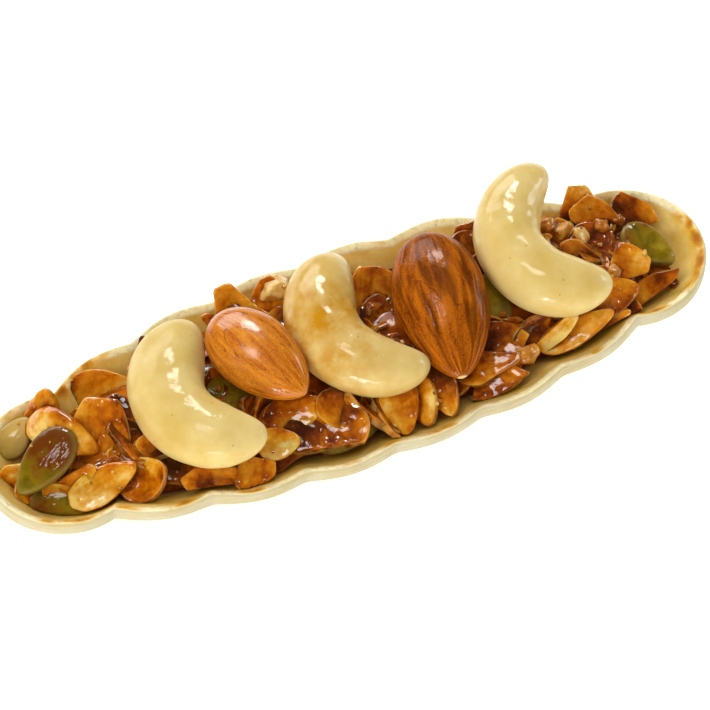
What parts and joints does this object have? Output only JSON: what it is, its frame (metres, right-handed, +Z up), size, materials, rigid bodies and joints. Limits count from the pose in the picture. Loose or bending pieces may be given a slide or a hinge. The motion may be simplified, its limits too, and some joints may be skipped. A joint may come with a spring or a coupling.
{
  "type": "nut boat cookie",
  "caption": "Scalloped boat-shaped wafer shell heaped with caramel-glazed almond flakes and pumpkin seeds, topped with whole cashews and almonds set across it.",
  "frame": {"origin": "centre of the bottom of the bounding box, on the surface that the boat rests on", "axes": "+X along the boat, +Y across it, +Z up"},
  "size_m": [0.106, 0.0346, 0.0211],
  "materials": {
    "wafer": "matt baked wafer, lightly toasted along the rim",
    "filling": "caramel glaze, glossy",
    "cashew": "thin caramel glaze, glossy",
    "almond": "brown skin under a thin caramel glaze, glossy"
  },
  "bodies": {
    "root": {"wafer_shell": "wafer", "nut_filling": "filling", "cashew_left": "cashew", "cashew_middle": "cashew", "cashew_right": "cashew", "almond_small": "almond", "almond_large": "almond"}
  },
  "joints": []
}
